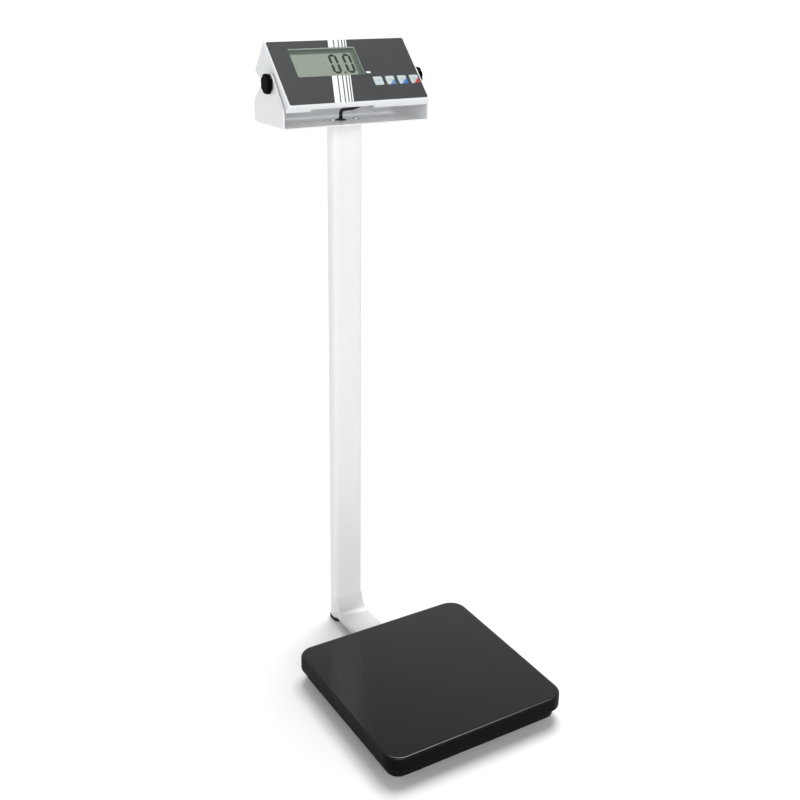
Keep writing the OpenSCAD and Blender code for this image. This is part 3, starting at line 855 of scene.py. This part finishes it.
def cheek_outline():
    """Side outline of a cheek as (y, z) from the pivot: a plate that narrows to a round lug."""
    rear, front = Vector((BRACKET_BACK, -27)), Vector((BRACKET_FRONT, -32))
    low = -PIVOT_RISE
    start = math.atan2(rear.y, rear.x) + math.acos(LUG_R / rear.length)
    end = math.atan2(front.y, front.x) + 2 * math.pi - math.acos(LUG_R / front.length)
    points = curved(front, (BRACKET_FRONT, low), (0, low), 2)
    points += curved((0, low), (BRACKET_BACK, low), rear, 9)
    points += curved((BRACKET_BACK, low), rear, (0, LUG_R), 6)
    points += [Vector((LUG_R * math.cos(a), LUG_R * math.sin(a))) for a in
               (start + (end - start) * k / 24 for k in range(25))]
    return points + curved((0, LUG_R), front, (BRACKET_FRONT, low), 5)


def rear_edge():
    """Section (y, z) of the plate's rear part, folded up behind the display."""
    low, top, start_y = -PIVOT_RISE, -42.0, 20.0
    back, inner, floor_z = BRACKET_BACK, BRACKET_BACK - PLATE_T, PLATE_T - PIVOT_RISE
    points = curved((0, low), (back, low), (back, top), 9)
    points += [Vector((back, top)), Vector((inner, top))]
    points += curved((inner, top), (inner, floor_z), (0, floor_z), 6.5)
    return points + [Vector((start_y, floor_z)), Vector((start_y, low))]


def rod_x(bm, radius, x0, x1, at=(0.0, 0.0), steps=32):
    """Round bar along X at (y, z)."""
    loft(bm, [[(x, p.x + at[0], p.y + at[1]) for p in circle(radius, steps)] for x in (x0, x1)])


def rod_z(bm, radius, z0, z1, at=(0.0, 0.0), steps=32):
    loft(bm, [[(p.x + at[0], p.y + at[1], z) for p in circle(radius, steps)] for z in (z0, z1)])


def build_bracket():
    section = bracket_section(CHEEK_IN, PLATE_T, LUG_R + 2, -PIVOT_RISE)
    ends = BRACKET_FRONT - 0.2, BRACKET_BACK + 0.2
    bracket = solid("display_bracket", loft, [[(p.x, y, p.y) for p in section] for y in ends])
    sides = solid("sides", loft, [[(x, p.x, p.y) for p in cheek_outline()] for x in (-125.0, 125.0)])
    cut(bracket, sides, "INTERSECT")
    half = CHEEK_IN + PLATE_T / 2 - 0.05
    edge = solid("rear_edge", loft, [[(x, p.x, p.y) for p in rear_edge()] for x in (-half, half)])
    cut(bracket, edge, "UNION")
    cut(bracket, solid("hole", rod_x, 3.05, -130, 130))
    cut(bracket, solid("hole", rod_z, 6.5, -70, -50, (CABLE_X, 0)))
    piece(bracket, LOOKS["stand_white"], "base", "stand_white", ["tilt_bracket"],
          Matrix.Translation(PIVOT), bevel=0.45, steps=3, bevel_angle=50)


def knob_wave(angle, radius, z):
    """Eight finger notches round a knob."""
    if radius < 12:
        return 1.0
    turn = (angle / (2 * math.pi) * 8 + 0.5) % 1.0 - 0.5
    return 1 - 0.085 * math.exp(-(turn / 0.17) ** 2)


def build_knobs():
    out, start = CHEEK_OUT, 102.6
    profile = [(2.9, 0.3), (7.6, 0.35), (8.4, 0.9), (12.0, 1.0), (GRIP_R - 0.9, 1.05), (GRIP_R - 0.3, 1.4),
               (GRIP_R, 2.2), (GRIP_R, 5.6), (GRIP_R - 0.4, 6.7), (GRIP_R - 1.3, 7.5), (12.2, 7.9),
               (10.6, 8.05), (9.8, 7.6), (9.0, 7.5), (4.5, 7.9), (1.0, 8.0)]
    profile = [(radius, out + z) for radius, z in profile]
    for node, side in (("knob_left", -1), ("knob_right", 1)):
        place = Matrix.Translation(PIVOT) @ Matrix.Rotation(side * math.pi / 2, 4, "Y")
        knob = solid(node + "_grip", lathe, profile, 128, wave=knob_wave)
        piece(knob, LOOKS["knob_black"], node, "knob_black", [node], place, sharp=50)
        stud = [(2.5, start), (2.9, start + 0.6)]
        z = start + 1.0
        while z < out - 0.5:
            stud += [(2.92, z), (2.5, z + 0.4)]
            z += 0.8
        stud += [(2.9, out), (2.9, out + 1.5)]
        screw = solid(node + "_stud", lathe, stud, 24)
        piece(screw, LOOKS["steel_zinc"], node, "steel_zinc", (), place, sharp=30)


# ---- Display ----


def house_shell(name, low, high):
    """Hollow housing between two heights over its foil plane."""
    outline = soft(HOUSE_CORNERS, HOUSE_ROUNDING, 8)
    edge, half = 1.8, HOUSE_W / 2
    ends = [(edge * (1 - math.sin(math.radians(a))), half - edge * (1 - math.cos(math.radians(a))))
            for a in (0, 22.5, 45, 67.5, 90)]
    profile = [(i, -x) for i, x in ends] + [(i, x) for i, x in reversed(ends)]
    shell = solid(name, along_x, outline, profile)
    cut_block(shell, (-200, -100, low), (200, 100, high), "INTERSECT")
    hollow = solid("hollow", along_x, soft(HOLLOW_CORNERS, HOLLOW_ROUNDING, 4),
                   [(0, -half + WALL), (0, half - WALL)])
    if low < 0:
        cut_block(hollow, (RECESS_X[0] - WALL, -100, -100), (RECESS_X[1] + WALL, -41.5, SPLIT))
    cut(shell, hollow)
    return shell


def screw_seat(u):
    """How far out of the foil's frame the head of a housing screw sits."""
    return 5.0 if u < 0 else -8.0


def cut_openings(obj, window, size):
    """Cuts the window and the four key holes through a front piece."""
    cut(obj, solid("window", slab, *size, 1.0, [(0, 10), (0, 30)], window))
    for x in KEYS.values():
        hole = KEY_SIDE + 0.6
        cut(obj, solid("hole", slab, hole, hole, 2.3, [(0, 10), (0, 30)], (x, KEY_U)))


def build_housing():
    rear = house_shell("housing_back", -100.0, SPLIT - 0.12)
    cut_block(rear, (RECESS_X[0], -100, -100), (RECESS_X[1], -44, SPLIT - WALL))
    posts = joined("posts", [solid("post", rod_z, 3.8, -45, SPLIT - 0.12, p, 32) for p in HOUSE_SCREWS])
    outline = soft(HOUSE_CORNERS, HOUSE_ROUNDING, 8)
    cut(posts, solid("bound", along_x, outline, [(0.3, -116), (0.3, 116)]), "INTERSECT")
    cut(rear, posts, "UNION")
    for x, u in HOUSE_SCREWS:
        cut(rear, solid("well", rod_z, 3.2, -60, screw_seat(u), (x, u), 32))
    opening = solid("opening", slab, 56.0, 32.0, 2.2, [(0, -12), (0, 3)], (0, 20))
    cut(rear, moved(opening, DISPLAY.inverted() @ UNDERSIDE))
    cut(rear, solid("hole", rod_x, 3.4, RECESS_X[1] - 2, RECESS_X[1] + 4, GLAND))
    for side in (-1, 1):
        cut(rear, solid("hole", rod_x, 5.0, side * 110, side * 120))
    piece(moved(rear, DISPLAY), LOOKS["housing_white"], "display", "housing_white", ["housing_rear"],
          bevel=0.35, bevel_angle=50)

    front = house_shell("housing_face", SPLIT, 40.0)
    window = ((WINDOW_X[0] + WINDOW_X[1]) / 2, (WINDOW_U[0] + WINDOW_U[1]) / 2)
    size = (WINDOW_X[1] - WINDOW_X[0], WINDOW_U[1] - WINDOW_U[0])
    cut_openings(front, window, size)
    piece(moved(front, DISPLAY), LOOKS["housing_white"], "display", "housing_white", ["housing_front"],
          bevel=0.35, bevel_angle=50)

    foil = solid("foil_sheet", slab, FOIL_W, FOIL_TOP - FOIL_LOW, 2.5,
                 [(0.0, FACE), (0.0, FACE + 0.28), (0.12, FACE + 0.4)], (0, (FOIL_TOP + FOIL_LOW) / 2))
    cut_openings(foil, window, size)
    piece(foil, LOOKS["foil_grey"], "display", "foil_grey", ["front_foil"], DISPLAY, sharp=30)

    lens = solid("lcd_lens", slab, size[0] - 0.3, size[1] - 0.3, 0.9,
                 [(0.0, 17.6), (0.0, 20.1), (0.2, 20.3)], window)
    piece(lens, LOOKS["lcd_lens"], "display", "lcd_lens", ["lcd_window"], DISPLAY, sharp=30)
    panel = solid("lcd_panel", slab, size[0] + 4, size[1] + 3, 0.8,
                  [(0.3, 15.0), (0.0, 15.3), (0.0, 17.1), (0.3, 17.4)], (window[0], window[1] - 0.5))
    piece(panel, LOOKS["lcd_green"], "display", "lcd_green", ["lcd_module"], DISPLAY, sharp=30)
    build_digits()


def segment(bm, x0, u0, x1, u1, thick, z0, z1):
    """One bar of a seven-segment digit, pointed at both ends."""
    a, b = Vector((x0, u0)), Vector((x1, u1))
    along = (b - a).normalized()
    side = Vector((-along.y, along.x)) * thick / 2
    tip = along * thick / 2
    points = [a, a + tip - side, b - tip - side, b, b - tip + side, a + tip + side]
    loft(bm, [[(p.x, p.y, z) for p in points] for z in (z0, z1)])


def zero_digit(bm, x, u, width, height, thick, z0, z1):
    """The six outer bars of a seven-segment zero."""
    top, mid, right = u + height, u + height / 2, x + width
    gap = 0.25
    segment(bm, x + gap, u, right - gap, u, thick, z0, z1)
    segment(bm, x + gap, top, right - gap, top, thick, z0, z1)
    for side in (x, right):
        segment(bm, side, u + gap, side, mid - gap, thick, z0, z1)
        segment(bm, side, mid + gap, side, top - gap, thick, z0, z1)


def build_digits():
    """0.0 in dark segments on the LCD."""
    z0, z1 = 17.38, 17.46

    def draw(bm):
        zero_digit(bm, -21.0, 0.5, 10.0, 31.0, 4.0, z0, z1)
        zero_digit(bm, 1.8, 0.5, 10.0, 31.0, 4.0, z0, z1)
        slab(bm, 3.0, 3.0, 0.5, [(0, z0), (0, z1)], (-4.6, 0.2), 3)

    piece(solid("lcd_digits", draw), SEGMENT, "display", "lcd_green", (), DISPLAY, sharp=30)


def build_keys():
    marks = {"key_mode": "lines", "key_hold": "dash", "key_tare": "ring", "key_power": "power"}
    tints = {"key_mode": None, "key_hold": (0.08, 0.2, 0.42), "key_tare": (0.015, 0.13, 0.42),
             "key_power": (0.42, 0.01, 0.025)}
    cap = [(-1.0, 17.0), (-1.2, 17.15), (-1.2, 17.65), (-1.05, 17.8), (0.0, 17.8), (0.0, 20.2), (0.12, 20.55),
           (0.4, 20.8), (0.9, 20.9), (1.8, 20.84), (3.2, 20.74), (5.2, 20.66)]
    for node, x in KEYS.items():
        look = key_look(node + "_print", tints[node], marks[node])
        key = solid(node + "_cap", slab, KEY_SIDE, KEY_SIDE, 2.0, cap, steps=8)
        cut(key, solid("plunger", rod_z, 2.2, 16.2, 17.4), "UNION")
        place = DISPLAY @ Matrix.Translation((x, KEY_U, 0))
        piece(key, look, node, "key_white", [node], place, sharp=50)


def build_gland():
    """Ribbed strain relief where the cable enters the housing."""
    bore = CABLE_D / 2 + 0.2
    profile = [(bore, -3.2), (3.3, -3.2), (3.3, 0.1), (4.4, 0.1), (4.4, 1.4)]
    z, radius = 1.4, 4.35
    while z < 7.4:
        profile += [(radius, z + 0.1), (radius, z + 0.7), (radius - 0.4, z + 0.8), (radius - 0.4, z + 1.05)]
        z, radius = z + 1.15, radius - 0.14
    profile += [(radius, 7.9), (radius - 0.15, 8.1), (bore, 8.1)]
    gland = solid("cable_relief", lathe, profile, 40, True)
    place = DISPLAY @ Matrix.Translation((RECESS_X[1], *GLAND)) @ Matrix.Rotation(-math.pi / 2, 4, "Y")
    piece(gland, LOOKS["rubber_black"], "display", "rubber_black", ["cable_gland"], place, sharp=35)


def build_battery_cover():
    profile = [(1.2, 0.2), (0.5, 0.25), (0.15, 0.45), (0.0, 0.8), (0.0, 2.2), (0.2, 2.4)]
    cover = solid("battery_door", slab, 55.4, 31.4, 2.0, profile, (0, 20))
    for y in (10, 30):
        cut_block(cover, (-22, y - 1, 2.0), (22, y + 1, 3.2), "UNION")
    for k in range(5):
        groove = solid("groove", slab, 16.0, 0.9, 0.44, [(0, -1.0), (0, 0.75)], (0, 9.0 + 2.0 * k), 4)
        cut(cover, groove)
    piece(cover, LOOKS["housing_white"], "battery_cover", "housing_white", ["battery_cover"], UNDERSIDE,
          bevel=0.12, bevel_angle=50)


def cross_screw(bm, head_r, head_h, shank_r, shank_l):
    """Pan head at z 0 to head_h over a threaded shank."""
    profile = [(shank_r * 0.7, -shank_l), (shank_r, -shank_l + 0.6)]
    z = -shank_l + 0.8
    while z < -1.0:
        profile += [(shank_r, z), (shank_r * 0.86, z + 0.35)]
        z += 0.7
    profile += [(shank_r, -0.8), (shank_r, 0.0), (head_r * 0.97, 0.0), (head_r, 0.25), (head_r, head_h * 0.5)]
    profile += [(head_r * 0.93, head_h * 0.78), (head_r * 0.75, head_h * 0.95), (head_r * 0.5, head_h)]
    lathe(bm, profile, 40)


def screws(name, nodes, body, places, head_r, head_h, shank_r, shank_l):
    """Cross-recessed screws that stand for those of CAD nodes."""
    screw = solid(name, cross_screw, head_r, head_h, shank_r, shank_l)
    width, reach = head_r * 0.22, head_r * 0.62
    cut_block(screw, (-reach, -width / 2, head_h * 0.35), (reach, width / 2, head_h + 1))
    cut_block(screw, (-width / 2, -reach, head_h * 0.35), (width / 2, reach, head_h + 1))
    screw = copies(screw, places)
    piece(screw, LOOKS["steel_zinc"], body, "steel_zinc", nodes, Matrix(), sharp=30)


def build_screws():
    places = [Matrix.Translation((x, COLUMN.y, COLUMN_TOP + PLATE_T))
              for x in (-BRACKET_SCREW_X, BRACKET_SCREW_X)]
    screws("bracket_fixing", ["bracket_screws"], "base", places, 4.6, 2.8, 2.45, 15.4)
    flip = Matrix.Rotation(math.pi, 4, "X")
    lower, upper = HOUSE_SCREWS[::2], HOUSE_SCREWS[1::2]
    for name, nodes, row in (("lower", ["housing_screws"], lower), ("upper", [], upper)):
        seat = screw_seat(row[0][1])
        places = [DISPLAY @ Matrix.Translation((x, u, seat)) @ flip for x, u in row]
        screws("housing_fixing_" + name, nodes, "display", places, 2.9, 2.2, 1.45, SCREW_TIP - seat)


# ---- CAD nodes that stay ----


def slot_of(node):
    """The record's material slot of a CAD node."""
    return next(part["material_slot"] for part in frame["record"]["subparts"] if part["node"] == node)


def dress(node, bevel=0.25):
    """Gives a CAD node its material, and rounds its edges."""
    obj = frame["nodes"][node]
    mesh = obj.data
    if "custom_normal" in mesh.attributes:
        mesh.attributes.remove(mesh.attributes["custom_normal"])
    mesh.polygons.foreach_set("use_smooth", [True] * len(mesh.polygons))
    mesh.materials.clear()
    mesh.materials.append(LOOKS[slot_of(node)])
    weld = obj.modifiers.new("weld", "WELD")
    weld.merge_threshold = 1e-6
    if bevel:
        step = obj.modifiers.new("round", "BEVEL")
        step.width = bevel * MM
        step.segments = 2
        step.limit_method = "ANGLE"
        step.angle_limit = math.radians(50)
        step.use_clamp_overlap = True
    weights = obj.modifiers.new("weights", "WEIGHTED_NORMAL")
    weights.keep_sharp = True


add_camera()
add_display_cable()
add_floor()
add_light()
build_platform()
build_feet()
build_stand()
build_bracket()
build_knobs()
build_housing()
build_keys()
build_gland()
build_battery_cover()
build_screws()
for cad_node, cad_object in sorted(frame["nodes"].items()):
    if not cad_object.hide_render:
        dress(cad_node)
